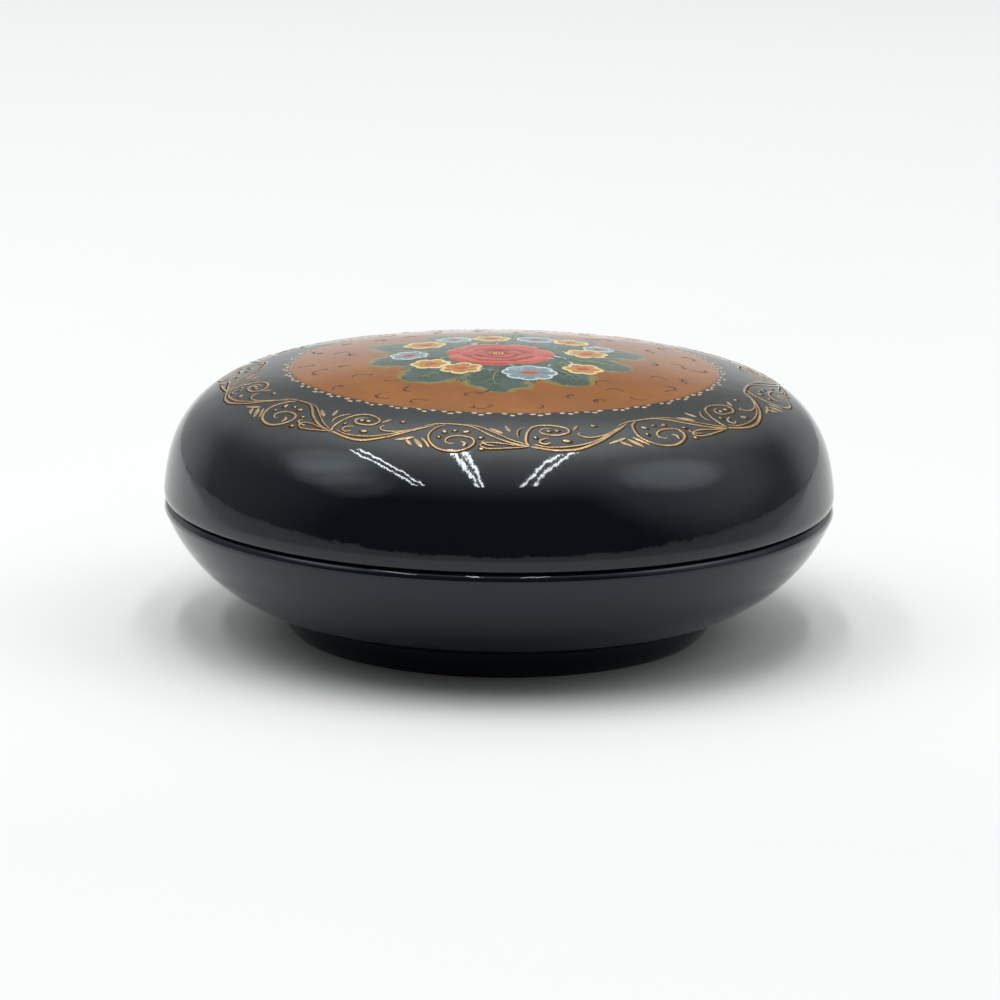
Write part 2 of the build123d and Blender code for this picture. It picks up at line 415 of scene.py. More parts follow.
class Paint:
    """Gathers the brush strokes of one piece. Each is a thin closed skin sunk into the lacquer.

    place turns x, y and a lift into points. Every point keeps how far across its stroke it lies,
    from -1 to 1, and its stroke's own tone.
    """

    SINK = 0.05  # how deep the underside lies
    EDGE = 0.012  # how deep the edges lie, so that no step shows round a stroke
    RELIEF = 0.5  # how thick the dried paint stands, as a share of the wet stroke's lift
    BLUNT = 0.015  # a stroke's ends keep the square root of this, as a share of its width
    DOT_BLUNT = 0.0004  # and a dot's ends the square root of this
    DOT_COLUMNS = 7

    def __init__(self, place=None):
        self.place = place
        self.points = []
        self.faces = []
        self.values = {"across": [], "tone": []}

    def add_grid(self, x, y, lift, side, tone):
        """A grid of rows along and columns across, closed underneath by one quad per row.

        side says how far across each column lies.
        """
        rows, columns = x.shape
        start = len(self.points)
        top = self.place(x, y, lift)
        low = self.place(x[:, [0, -1]], y[:, [0, -1]], -self.SINK)
        self.points += list(top.reshape(-1, 3)) + list(low.reshape(-1, 3))
        self.values["across"] += [*side] * rows + [side[0], side[-1]] * rows
        self.values["tone"] += [tone] * (rows * columns + rows * 2)
        under = start + rows * columns
        for i in range(rows - 1):
            a = start + i * columns
            for j in range(columns - 1):
                self.faces.append((a + j, a + j + 1, a + columns + j + 1, a + columns + j))
            b = under + 2 * i
            last = columns - 1
            self.faces += [(b + 1, b, b + 2, b + 3), (b, a, a + columns, b + 2)]
            self.faces.append((a + last, b + 1, b + 3, a + columns + last))
        for i in (0, rows - 1):
            a = start + i * columns
            b = under + 2 * i
            self.faces.append((b, *range(a, a + columns), b + 1))

    def stroke(self, curve, width, lift, thin_start, thin_end, tone, columns=5, tilt=0.0):
        """One stroke of a loaded brush along a curve, thinning towards each end.

        thin_start and thin_end are the shares of its length over which it swells and dies away.
        tilt raises its left half and lowers its right one.
        """
        curve = np.asarray(curve, float)
        step = np.gradient(curve, axis=0)
        length = np.maximum(np.hypot(*step.T), 1e-9)
        normal = np.stack([-step[:, 1], step[:, 0]], -1) / length[:, None]
        run = np.concatenate(([0], np.cumsum((length[1:] + length[:-1]) / 2)))
        share = run / run[-1]
        swell = np.minimum(1, share / max(thin_start, 1e-3))
        fade = np.minimum(1, (1 - share) / max(thin_end, 1e-3))
        body = np.clip(np.minimum(swell, fade), 0, 1)
        body = np.sqrt(body * (1 - self.BLUNT) + self.BLUNT)
        side = np.linspace(-1, 1, columns)
        half = width / 2 * body
        x = curve[:, :1] + normal[:, :1] * half[:, None] * side
        y = curve[:, 1:] + normal[:, 1:] * half[:, None] * side
        crown = (1 - side**2)[None, :] * body[:, None]
        rise = -self.EDGE + (self.RELIEF * lift + self.EDGE) * crown + tilt * side[None, :] * crown
        self.add_grid(x, y, rise, side, tone)

    def dot(self, x, y, length, width, angle=0.0, lift=0.12, tone=0.5, steps=9):
        """A round or oval touch of the brush."""
        ends = np.sin(np.linspace(-pi / 2, pi / 2, steps))
        side = np.linspace(-1, 1, self.DOT_COLUMNS)
        half = np.sqrt(np.maximum(1 - ends**2, self.DOT_BLUNT))
        u = ends[:, None] * length / 2 + 0 * side
        v = half[:, None] * side * width / 2
        gx = x + u * cos(angle) - v * sin(angle)
        gy = y + u * sin(angle) + v * cos(angle)
        rise = -self.EDGE + (self.RELIEF * lift + self.EDGE) * half[:, None] * (1 - side**2)[None, :]
        self.add_grid(gx, gy, rise, side, tone)

    def finish(self, name, material):
        """Makes one piece of the gathered strokes."""
        painted_piece(name, self.points, self.faces, self.values, material)


# Materials


def add_node(tree, kind, inputs=None, **settings):
    """A new shader node with its settings. Each input is linked to a socket or set to a value."""
    made = tree.nodes.new("ShaderNode" + kind)
    for key, value in settings.items():
        setattr(made, key, value)
    for key, value in (inputs or {}).items():
        if isinstance(value, bpy.types.NodeSocket):
            tree.links.new(value, made.inputs[key])
        else:
            made.inputs[key].default_value = value
    return made


class Shader:
    """A node material with one Principled shader, and short ways to add nodes to it."""

    def __init__(self, name, **values):
        self.material = bpy.data.materials.new(name)
        self.material.use_nodes = True
        self.tree = self.material.node_tree
        self.main = self.tree.nodes["Principled BSDF"]
        for socket, value in values.items():
            self.main.inputs[socket.replace("_", " ")].default_value = value
        self.place = self.node("TexCoord").outputs["Object"]

    def node(self, kind, inputs=None, **settings):
        return add_node(self.tree, kind, inputs, **settings)

    def noise(self, scale, detail=3.0, roughness=0.5, distortion=0.0, source=None):
        """Noise over the piece. The scale is in waves per metre."""
        inputs = {
            "Vector": source or self.place, "Scale": scale, "Detail": detail,
            "Roughness": roughness, "Distortion": distortion,
        }
        return self.node("TexNoise", inputs).outputs[0]

    def ramp(self, factor, *stops):
        """A colour ramp through (position, colour) stops."""
        made = self.node("ValToRGB", {"Fac": factor})
        elements = made.color_ramp.elements
        while len(elements) < len(stops):
            elements.new(0.5)
        for element, (position, colour) in zip(elements, stops):
            element.position = position
            element.color = (*colour, 1.0)
        return made.outputs["Color"]

    def spread(self, value, low, high, to_low=0.0, to_high=1.0, smooth=False):
        """The value's range mapped onto another, held at both ends."""
        made = self.node("MapRange", {0: value, 1: low, 2: high, 3: to_low, 4: to_high})
        if smooth:
            made.interpolation_type = "SMOOTHSTEP"
        return made.outputs[0]

    def mix(self, factor, first, second):
        """The first colour turning into the second with the factor."""
        colours = [c if isinstance(c, bpy.types.NodeSocket) else (*c, 1.0) for c in (first, second)]
        inputs = {0: factor, 6: colours[0], 7: colours[1]}
        return self.node("Mix", inputs, data_type="RGBA").outputs[2]

    def math(self, operation, first, second=0.0):
        return self.node("Math", {0: first, 1: second}, operation=operation).outputs[0]

    def value(self, name):
        """A number stored on the piece's points."""
        return self.node("Attribute", attribute_name=name).outputs["Fac"]

    def set(self, **sockets):
        """The material, with outputs linked to the shader's sockets."""
        for socket, output in sockets.items():
            self.tree.links.new(output, self.main.inputs[socket.replace("_", " ")])
        return self.material

    def bump(self, height, strength, distance):
        """Relief from a height, its distance in metres."""
        inputs = {"Height": height, "Strength": strength, "Distance": distance}
        self.set(Normal=self.node("Bump", inputs).outputs["Normal"])


# A painted grey sheen on the lid's crown, which stands in for the reflection of the bright
# surroundings, grows between these heights
PAINTED_SHEEN_LOW = 36.0
PAINTED_SHEEN_HIGH = 39.5
PAINTED_SHEEN_COLOUR = (0.044, 0.048, 0.045)
DUST_COLOUR = (0.014, 0.016, 0.018)


def black_lacquer(name, dark, light, wave, ior=1.52, painted_sheen=False):
    """Deep black lacquer, rubbed by hand: slightly wavy and cloudy, with fine dust.

    wave is the height of the waves in metres. With the last switch on, the high part of the lid gets a
    patchy grey painted sheen, a painted reflection of the bright surroundings.
    """
    s = Shader(name, IOR=ior, Specular_Tint=(0.86, 0.94, 1.0, 1.0))
    cloud = s.noise(45.0, 4.0, 0.6, 0.4)
    fine = s.noise(900.0, 2.0, 0.55)
    base = s.ramp(cloud, (0.25, dark), (0.8, light))
    specks = s.spread(s.noise(2600.0, 1.0), 0.72, 0.8)
    colour = s.mix(specks, base, DUST_COLOUR)
    if painted_sheen:
        height = s.node("SeparateXYZ", {"Vector": s.place}).outputs["Z"]
        high = s.spread(height, PAINTED_SHEEN_LOW * MM, PAINTED_SHEEN_HIGH * MM, smooth=True)
        patchy = s.spread(s.noise(320.0, 4.0, 0.65), 0.3, 0.7, 0.7, 1.0)
        # Painted reflection: a patchy grey sheen mixed into the colour of the lid's high part.
        colour = s.mix(s.math("MULTIPLY", high, patchy), colour, PAINTED_SHEEN_COLOUR)
    rough = s.math("ADD", s.spread(cloud, 0.3, 0.75, 0.02, 0.05), s.spread(fine, 0.35, 0.8, 0, 0.02))
    waves = s.math("ADD", s.noise(150.0, 2.0, 0.5), s.math("MULTIPLY", fine, 0.13))
    s.bump(waves, 1.0, wave)
    return s.set(Base_Color=colour, Roughness=rough)


def red_satin(name):
    """Satin red lacquer of the inside, with brush streaks that run round and a slightly worn tone."""
    s = Shader(name, IOR=1.48)
    cloud = s.noise(60.0, 4.0, 0.6, 0.5)
    stretched = s.node("Mapping", {"Vector": s.place, "Scale": (1.0, 1.0, 14.0)})
    streak = s.noise(120.0, 3.0, 0.6, 0.2, stretched.outputs[0])
    base = s.ramp(cloud, (0.25, (0.26, 0.018, 0.012)), (0.75, (0.42, 0.036, 0.022)))
    colour = s.mix(s.spread(streak, 0.35, 0.75, 0.0, 0.35), base, (0.2, 0.012, 0.009))
    rough = s.spread(streak, 0.3, 0.7, 0.27, 0.42)
    s.bump(s.noise(700.0, 3.0), 0.35, 0.00003)
    return s.set(Base_Color=colour, Roughness=rough)


def gold_paint(name, shade=0.6):
    """Gold paint under varnish: each stroke has its own tone, with painted shade darkening it towards
    its edges, so that its raised middle looks lit.

    shade is how far a stroke's thin places go towards brown.
    """
    s = Shader(name, Metallic=0.5, IOR=1.5, Coat_Weight=1.0, Coat_Roughness=0.03)
    grain = s.noise(2200.0, 2.0)
    body = s.ramp(
        s.value("tone"), (0.0, (0.46, 0.215, 0.03)), (0.5, (0.62, 0.38, 0.11)), (1.0, (0.9, 0.7, 0.4))
    )
    # Painted shade: each stroke darkens towards its edges, standing in for the shaded sides of a raised
    # stroke.
    edge = s.spread(s.math("ABSOLUTE", s.value("across")), 0.3, 1.0, 0.0, 0.85, smooth=True)
    colour = s.mix(edge, body, (0.13, 0.05, 0.015))
    thin = s.spread(s.noise(420.0, 2.0, 0.6), 0.44, 0.62, 0.0, shade, smooth=True)
    colour = s.mix(thin, colour, (0.17, 0.075, 0.025))
    colour = s.mix(s.spread(grain, 0.35, 0.7, 0.0, 0.3), colour, (0.88, 0.68, 0.4))
    s.bump(grain, 0.4, 0.00004)
    return s.set(Base_Color=colour, Roughness=s.spread(grain, 0.3, 0.7, 0.24, 0.4))


def tempera(name, dark, middle, light, ior=1.3, coat=0.6, rough=0.3):
    """Artist's paint, its colour picked by the stroke's tone.

    coat is how much varnish lies over it, and rough its own roughness under that.
    """
    s = Shader(name, IOR=ior, Coat_Weight=coat, Coat_Roughness=0.04)
    grain = s.noise(1100.0, 3.0)
    hairs = s.math("ABSOLUTE", s.math("SINE", s.math("MULTIPLY", s.value("across"), 9.0)))
    streak = s.spread(hairs, 0.0, 1.0, -0.08, 0.08)
    tone = s.math("ADD", s.math("ADD", s.value("tone"), streak), s.spread(grain, 0.3, 0.7, -0.1, 0.1))
    colour = s.ramp(tone, (0.0, dark), (0.5, middle), (1.0, light))
    s.bump(grain, 0.3, 0.00005)
    return s.set(Base_Color=colour, Roughness=s.spread(grain, 0.3, 0.7, rough - 0.06, rough + 0.08))


def medallion_ground(name):
    """Copper-orange ground with a soft green-grey leaf mass, both under the clear lacquer."""
    s = Shader(name, IOR=1.4)
    cloud = s.noise(70.0, 5.0, 0.6, 0.6)
    fine = s.noise(800.0, 3.0, 0.6)
    base = s.ramp(
        cloud, (0.2, (0.285, 0.1, 0.024)), (0.5, (0.36, 0.134, 0.032)), (0.85, (0.44, 0.182, 0.05))
    )
    base = s.mix(s.spread(fine, 0.4, 0.75, 0.0, 0.3), base, (0.25, 0.09, 0.024))
    edge = s.value("edge")
    base = s.mix(s.spread(edge, 0.97, 1.0, 0.0, 0.4, smooth=True), base, (0.2, 0.075, 0.03))
    leaf = s.math("ADD", s.value("leaf"), s.spread(s.noise(260.0, 3.0, 0.65), 0.3, 0.7, -0.2, 0.2))
    patches = s.noise(180.0, 3.0, 0.6)
    green = s.ramp(patches, (0.25, (0.05, 0.085, 0.07)), (0.7, (0.13, 0.17, 0.14)))
    fringe = s.mix(s.spread(leaf, 0.2, 0.45, smooth=True), base, (0.27, 0.26, 0.09))
    colour = s.mix(s.spread(leaf, 0.42, 0.62, smooth=True), fringe, green)
    s.bump(s.noise(150.0, 2.0), 1.0, 0.00003)
    return s.set(Base_Color=colour, Roughness=s.spread(fine, 0.3, 0.8, 0.07, 0.13))


# The lid's lacquer carries the painted grey sheen on its crown.
black = black_lacquer(
    "black_lacquer", (0.0014, 0.0024, 0.0046), (0.0026, 0.0038, 0.0064), 0.00005, painted_sheen=True
)
# The bowl and foot get a bluer copy of the black lacquer: the extra blue is painted shade, the cool
# tint of the shaded lower box.
black_shade_blued = black_lacquer(
    "black_lacquer_bowl_shade_blued", (0.0014, 0.004, 0.0085), (0.0026, 0.0055, 0.0105), 0.00004, ior=1.48
)
red = red_satin("red_satin_lacquer")
gold = gold_paint("gold_paint")
pale_gold = gold_paint("pale_gold_paint", shade=0.25)
brown = tempera(
    "brown_outline_paint", (0.035, 0.014, 0.004), (0.06, 0.028, 0.008), (0.1, 0.05, 0.016),
    ior=1.15, coat=0.0, rough=0.5,
)


# The four lacquered pieces


def lacquered_pieces():
    """Lid, bowl, collar and foot, each in the place of its built piece."""
    lid_section, lid_split = lid_profile()
    bowl_section, bowl_split = bowl_profile()
    for name, section, split, materials, body, node in (
        ("lid_shell", lid_section, lid_split, [black, red], "box_lid", "lid"),
        ("bowl_shell", bowl_section, bowl_split, [red, black_shade_blued], "box_base", "bowl"),
        ("collar_ring", collar_profile(), None, [red], "box_base", "inner_collar"),
        ("foot_band", foot_profile(), None, [black_shade_blued], "box_base", "foot_ring"),
    ):
        piece = lathe(name, section, materials, split)
        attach(piece, body)
        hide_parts(node)


lacquered_pieces()


# The painted medallion

# Leaves of the soft green mass: direction from the middle in degrees, how far they reach, half width
LEAVES = [
    (-92, 25.5, 6.2), (-58, 24.0, 5.6), (-22, 22.0, 5.2), (12, 23.5, 5.6), (48, 22.0, 5.4),
    (84, 24.0, 6.0), (122, 22.5, 5.4), (158, 24.0, 5.6), (196, 23.0, 5.6), (232, 24.5, 6.0),
]
LEAF_CORE = 14.5  # the mass fills the middle to about this radius
LEAF_CORE_FADE = 6.0  # and thins out over this length there
LEAF_START = 0.15  # where a leaf starts, as a share of its reach
LEAF_FULL = 0.55  # it keeps its full width up to here
LEAF_TIP = 0.45  # and rounds off over this share
LEAF_FADE = 3.2  # its sides fade over this length


def leaf_mass(x, y):
    """How deep a place lies in the green leaf mass, from 0 outside to 1 well inside."""
    deep = (LEAF_CORE + LEAF_CORE_FADE / 2 - np.hypot(x, y)) / LEAF_CORE_FADE
    for angle, reach, half in LEAVES:
        c = cos(radians(angle))
        s = sin(radians(angle))
        u = (x * c + y * s) / reach
        v = (y * c - x * s) / half
        width = np.sqrt(np.clip(1 - np.clip((u - LEAF_FULL) / LEAF_TIP, 0, 1) ** 1.6, 0, 1))
        side = (width - np.abs(v)) * half / LEAF_FADE
        deep = np.maximum(deep, np.where((u > LEAF_START) & (u < 1), side, -1))
    return np.clip(0.45 + 0.55 * deep, 0, 1)


def medallion():
    """The ground of the medallion: a thin round skin over the crown."""
    rings = 90
    turns = 288
    radii = MEDALLION_RADIUS * np.linspace(0, 1, rings + 1)[1:]
    angles = np.linspace(0, 2 * pi, turns, endpoint=False)
    x = radii[:, None] * np.cos(angles)
    y = radii[:, None] * np.sin(angles)
    lift = np.full_like(x, GROUND_LIFT)
    lift[-1] = 0.4 * GROUND_LIFT
    points = list(on_medallion(x, y, lift).reshape(-1, 3))
    points += list(on_medallion(x[-1], y[-1], -Paint.SINK))
    faces = [face for i in range(rings) for face in band(i * turns, (i + 1) * turns, turns)]
    faces += caps(len(points), rings * turns, turns)
    points += [on_medallion(0.0, 0.0, GROUND_LIFT), on_medallion(0.0, 0.0, -Paint.SINK)]
    leaf = list(leaf_mass(x, y).reshape(-1)) + [0.0] * turns + [1.0, 1.0]
    edge = list(np.repeat(radii / MEDALLION_RADIUS, turns)) + [1.0] * turns + [0.0, 0.0]
    material = medallion_ground("medallion_paint")
    painted_piece("medallion_ground", points, faces, {"leaf": leaf, "edge": edge}, material)


def dot_ring():
    """Small pale gold touches round the medallion, in threes with the middle one further out."""
    vary = random.Random(11).uniform
    paint = Paint(on_medallion)
    for k in range(DOT_GROUPS):
        middle = 2 * pi * (k + vary(-0.1, 0.1)) / DOT_GROUPS
        for side in (-1, 0, 1):
            turn = middle + side * vary(1.05, 1.3) / DOT_RING
            radius = DOT_RING + (0 if side else DOT_STEP) + vary(-0.15, 0.15)
            paint.dot(*(radius * heading(turn)), vary(0.85, 1.15), vary(0.62, 0.82),
                      turn + pi / 2 + vary(-0.35, 0.35), tone=vary(0.55, 1.0))
    paint.finish("dot_ring", pale_gold)


# The scroll border: a running stem that throws a loop to one side and then to the other.
# Each list of points is one stroke, x along the border and y outward from its middle.

OUTER_UNIT = [
    # points, width, thin_start, thin_end
    ([(0, 2.5), (3, 3.35), (5.2, 3.5), (7, 3.25), (10.2, 1.8), (13.4, -0.5), (15.2, -1.9), (16.8, -3)],
     0.5, 0.04, 0.12),
    ([(0.5, 1.9), (3, 2.7), (7, 2.4), (10.2, 1.2), (12.9, -0.6), (14.8, -2)], 0.32, 0.1, 0.2),
    ([(15.2, -1.9), (12.2, -0.1), (9.5, 0.5), (8.1, 0.2), (7.6, -0.6), (8.2, -1)], 0.34, 0.2, 0.1),
    ([(0, 2.5), (-0.4, 1.3), (-0.3, -0.5), (0.2, -2.1), (1.25, -3.35), (3, -3.9), (4.8, -3.5),
      (6.25, -2.6), (6.4, -1.5), (5.5, -0.7), (4.1, -0.5), (2.6, -0.8), (2, -1.8), (2.7, -2.6),
      (3.9, -2.7)], 0.46, 0.03, 0.15),
    ([(3.1, 0.3), (1.8, 0.7), (1.6, 1.5), (2.4, 1.9), (3.2, 1.4)], 0.4, 0.25, 0.2),
    ([(0, 2.6), (-2.5, 2.15), (-5, 1.7), (-6.6, 1.8), (-6.9, 2.5), (-5.8, 3.1), (-3, 2.9), (0, 2.6)],
     0.32, 0.08, 0.08),
    ([(7.2, -1.9), (7.7, -2.6), (8.3, -3.4)], 0.8, 0.5, 0.45),
    ([(11.4, 2.4), (12.9, 1.9), (14.4, 1.2)], 0.8, 0.55, 0.3),
    ([(13.2, 2.1), (14.0, 2.9), (14.6, 3.4)], 0.75, 0.35, 0.45),
    ([(14.5, 1.6), (15.4, 2.7), (16.3, 3.8)], 0.85, 0.35, 0.35),
    ([(15.5, 1.2), (16.5, 2.4), (17.4, 3.5)], 0.6, 0.35, 0.35),
]
OUTER_DOTS = [
    # x, y, length, width, angle in degrees
    (3.2, -1.7, 0.75, 0.75, 0), (4.6, -1.75, 0.75, 0.75, 0), (5.5, 1.3, 1.1, 0.8, 20),
    (1.05, 0.0, 0.6, 0.5, 60), (10.7, -3.0, 0.8, 0.7, 10),
]
INNER_UNIT = [
    ([(-2.4, -2.2), (-0.6, -3.2), (1.5, -3.6), (4.6, -3.5), (6.8, -2.6), (9.6, -0.3), (12.5, 1.5),
      (15.6, 2.6)], 0.46, 0.15, 0.05),
    ([(4.3, -3.9), (7.3, -3.1), (10.3, -1.1), (13, 0.9), (15.6, 2.3)], 0.3, 0.25, 0.1),
    ([(1.5, -3.4), (0.1, -2), (-0.6, 0.1), (-0.1, 2), (1.5, 3.6), (3.8, 4.1), (5.8, 3.4), (6.9, 2),
      (6.6, 0.7), (5.2, 0.1), (3.8, 0.2), (2.7, 0.9), (2.5, 1.8), (3.2, 2.4), (4, 2)],
     0.46, 0.05, 0.15),
    ([(4.9, 1.5), (5.5, 2.1), (5.4, 2.9)], 0.55, 0.4, 0.3),
    ([(9.1, -2.7), (10.3, -1.9), (11.5, -0.9)], 0.9, 0.5, 0.3),
    ([(11.9, -3.8), (12.3, -2.7), (12.8, -1.6)], 0.85, 0.6, 0.35),
    ([(15.3, -3.3), (14.2, -2.2), (13.8, -0.9), (14.1, 0.2)], 0.36, 0.35, 0.2),
    ([(10.2, 2.5), (8.9, 2.2), (8.3, 1.6), (8.7, 1.1)], 0.34, 0.2, 0.3),
]
INNER_DOTS = [
    (1.6, -1.1, 0.95, 0.75, 50), (1.1, 0.7, 0.6, 0.5, 80), (5.3, -1.2, 1.0, 0.75, -20),
    (3.4, -1.5, 0.6, 0.55, 0), (8.0, 0.4, 0.65, 0.55, 0), (8.2, 3.2, 0.6, 0.6, 0),
]
UNIT_PAIR = 32.7  # length of one outer and one inner unit as drawn
INNER_START = 17.1
UNITS = [(0.0, OUTER_UNIT, OUTER_DOTS), (INNER_START, INNER_UNIT, INNER_DOTS)]
SHADING_SHIFT = (0.1, 0.24)  # how far the brown shading lies beside its gold stroke
SHADING_EXTRA = 0.95  # and how much wider it is
PAIR_TURNS = [-79.0, -35.3, 5.8, 51.0, 97.4, 143.3, 189.2, 235.1]  # degrees, where each pair starts

# Strokes wider than this that start at one of these x grow from another one, so their first point
# stays where it is drawn
JOIN_WIDTH = 0.45
JOIN_STARTS = (0, 1.5)


def scroll_border():
    """The gold scrollwork round the shoulder over its brown shading, each repeat slightly different."""
    vary = random.Random(5).uniform
    paint = Paint()
    shading = Paint()
    for start, end in zip(PAIR_TURNS, PAIR_TURNS[1:] + [PAIR_TURNS[0] + 360]):
        stretch = radians(end - start) * BORDER_RADIUS / UNIT_PAIR
        paint.place = shading.place = on_border(radians(start))
        for offset, strokes, dots in UNITS:
            for points, width, thin_start, thin_end in strokes:
                moved = [
                    ((x + offset) * stretch + vary(-0.08, 0.08), y + vary(-0.08, 0.08))
                    for x, y in points
                ]
                if width > JOIN_WIDTH and points[0][0] in JOIN_STARTS:
                    moved[0] = ((points[0][0] + offset) * stretch, points[0][1])
                curve = smooth_curve(moved, 7)
                brush = width * vary(0.9, 1.12)
                paint.stroke(curve, brush, 0.1, thin_start, thin_end, vary(0.25, 0.7))
                shading.stroke(curve + SHADING_SHIFT, brush + SHADING_EXTRA, 0.02, thin_start,
                               thin_end, vary(0.2, 0.8), 3)
            for x, y, length, width, angle in dots:
                at = np.array([(x + offset) * stretch + vary(-0.1, 0.1), y + vary(-0.1, 0.1)])
                long = length * vary(0.9, 1.1)
                turn = radians(angle + vary(-20, 20))
                paint.dot(*at, long, width, turn, 0.13, vary(0.45, 0.85))
                shading.dot(*(at + SHADING_SHIFT), long + SHADING_EXTRA, width + SHADING_EXTRA,
                            turn, 0.02, vary(0.2, 0.8), 5)
    paint.finish("scroll_border", gold)
    shading.finish("border_shading", brown)


medallion()
dot_ring()
scroll_border()


# The bouquet: a rose inside a loose ring of small flowers, in plan from the medallion's middle


def circle_path(x, y, radius, start, end, steps=14):
    """Points along part of a circle, angles in degrees."""
    angles = np.radians(np.linspace(start, end, steps))
    return np.stack([x + radius * np.cos(angles), y + radius * np.sin(angles)], -1)


ROSE_X = -1.0
ROSE_Y = -1.0
ROSE_BASE = 17.0  # width of the round touch under the petals
ROSE_RINGS = [
    # radius, petals, width of a petal, its span in degrees, tone, turn in degrees
    (7.2, 7, 4.1, 66, 0.55, 8), (4.9, 5, 3.4, 92, 0.4, 40), (2.9, 4, 2.5, 118, 0.28, 5),
    (1.2, 2, 1.6, 190, 0.15, 60),
]
HEART_DOTS = 9
HEART_RADIUS = 0.75


def rose(petals, hearts):
    """Overlapping crescent petals over a round base, in four rings that darken towards the heart."""
    vary = random.Random(21).uniform
    petals.dot(ROSE_X, ROSE_Y, ROSE_BASE, ROSE_BASE, lift=0.05, tone=0.2, steps=25)
    for radius, count, width, span, tone, turn in ROSE_RINGS:
        for k in range(count):
            middle = turn + 360 * k / count + vary(-5, 5)
            path = circle_path(ROSE_X, ROSE_Y, radius + vary(-0.2, 0.2),
                               middle + span / 2, middle - span / 2)
            petals.stroke(path, width, 0.16, 0.35, 0.35, tone + vary(-0.08, 0.08), 9, 0.06)
    for x, y in circle_path(ROSE_X, ROSE_Y, HEART_RADIUS, 0, 360, HEART_DOTS + 1)[:-1]:
        hearts.dot(x, y, 0.35, 0.35, lift=0.2, tone=0.8)


# Small flowers round the rose: x, y, radius, petals, turn in degrees
YELLOW_FLOWERS = [
    (-13.2, 7.8, 3.3, 6, 10), (-12.0, -8.2, 3.0, 6, 0), (-7.0, -11.6, 3.3, 6, 25),
    (13.4, 1.8, 3.3, 6, 15), (12.6, -10.2, 3.1, 6, 0), (-2.2, 14.2, 3.0, 6, 12),
    (11.0, 12.4, 2.9, 6, 30),
]
BLUE_FLOWERS = [
    (4.0, -14.2, 4.4, 8, 0), (-15.6, -1.2, 3.1, 7, 14), (5.2, 14.0, 3.3, 7, 0),
    (-8.4, 13.0, 3.0, 7, 20), (15.4, 6.9, 2.5, 7, 0),
]

# Shares of a small flower's radius
PETAL_OUT = 0.62
PETAL_LENGTH = 0.82
PETAL_WIDTH = 0.86
RIM_RADIUS = 0.37
HEART_LENGTH = 0.78
HEART_WIDTH = 0.74
RIM_SPAN = 105  # degrees of the rim stroke to either side of its petal's tip


def small_flowers(flowers, petal, rim, heart, seed, rim_width):
    """Ring of round petals, a rim stroke round each, and a raised heart."""
    vary = random.Random(seed).uniform
    for x, y, radius, count, turn in flowers:
        for k in range(count):
            angle = radians(turn + 360 * k / count + vary(-4, 4))
            at = (x, y) + PETAL_OUT * radius * heading(angle)
            petal.dot(*at, radius * PETAL_LENGTH, radius * PETAL_WIDTH, angle, 0.09, vary(0.35, 0.75))
            tip = np.degrees(angle)
            path = circle_path(*at, radius * RIM_RADIUS, tip - RIM_SPAN, tip + RIM_SPAN)
            rim.stroke(path, rim_width, 0.15, 0.25, 0.25, vary(0.5, 0.95))
        heart.dot(x, y, radius * HEART_LENGTH, radius * HEART_WIDTH, 0.3, 0.17, vary(0.35, 0.6), 11)


LEAF_ROOT = 10.5  # how far from the middle the painted leaves start
LEAF_BLADES = [
    # share by which a blade is shorter, turn from its leaf's direction in degrees, scale
    (0.0, 0, 1.0), (0.0875, 16, 0.72), (0.0875, -17, 0.7),
]


def leaves(body, vein):
    """Painted leaves over the soft green mass, each with a pale midrib and side veins."""
    vary = random.Random(31).uniform
    for angle, reach, half in LEAVES:
        for shorter, turn, scale in LEAF_BLADES:
            a = radians(angle + turn)
            out = heading(a)
            across = np.array([-sin(a), cos(a)])
            tip = reach * (1.0 - shorter) - 1.0
            bend = vary(-1.2, 1.2)
            middle = (LEAF_ROOT + tip) / 2 * out + bend * across
            path = smooth_curve([LEAF_ROOT * out, middle, tip * out], 9)
            body.stroke(path, half * 0.72 * scale, 0.045, 0.5, 0.75, vary(0.2, 0.55), 7)
            vein.stroke(path[2:-2], 0.22, 0.1, 0.4, 0.6, vary(0.3, 0.8))
            for k in range(4, len(path) - 4, 3):
                step = path[k + 1] - path[k]
                along = np.arctan2(step[1], step[0])
                size = half * 0.3 * scale * sin(pi * k / len(path))
                for side in (-1, 1):
                    end = path[k] + size * heading(along + side * 0.8)
                    vein.stroke(np.linspace(path[k], end, 5), 0.16, 0.08, 0.2, 0.6, vary(0.2, 0.6))


SPRIGS = 46


def small_sprigs(bud, petal, leaf):
    """Blue-grey buds and short leaf strokes that fill the gaps between rose and flowers."""
    draw = random.Random(41)
    vary = draw.uniform
    for k in range(SPRIGS):
        angle = 2 * pi * (k + vary(-0.6, 0.6)) / SPRIGS
        radius = vary(7.8, 12.2)
        paint = draw.choice((bud, petal, petal))
        start = radius * heading(angle) + (ROSE_X, ROSE_Y)
        for side in (-1, 1):
            d = angle + side * vary(0.5, 1.3)
            end = start + vary(1.2, 2.6) * heading(d)
            leaf.stroke(np.linspace(start, end, 6), vary(0.5, 0.8), 0.08, 0.3, 0.6, vary(0.5, 1.0))
        d = angle + vary(-1.4, 1.4)
        end = start + vary(0.9, 2.1) * heading(d)
        bend = np.array([-sin(d), cos(d)]) * vary(-0.4, 0.4)
        path = smooth_curve([start, (start + end) / 2 + bend, end], 4)
        paint.stroke(path, vary(0.35, 0.75), 0.12, 0.4, 0.5, vary(0.1, 0.9))


TENDRIL_RINGS = [(31.6, 22), (27.6, 15), (24.2, 8)]  # radius and number of curls tried


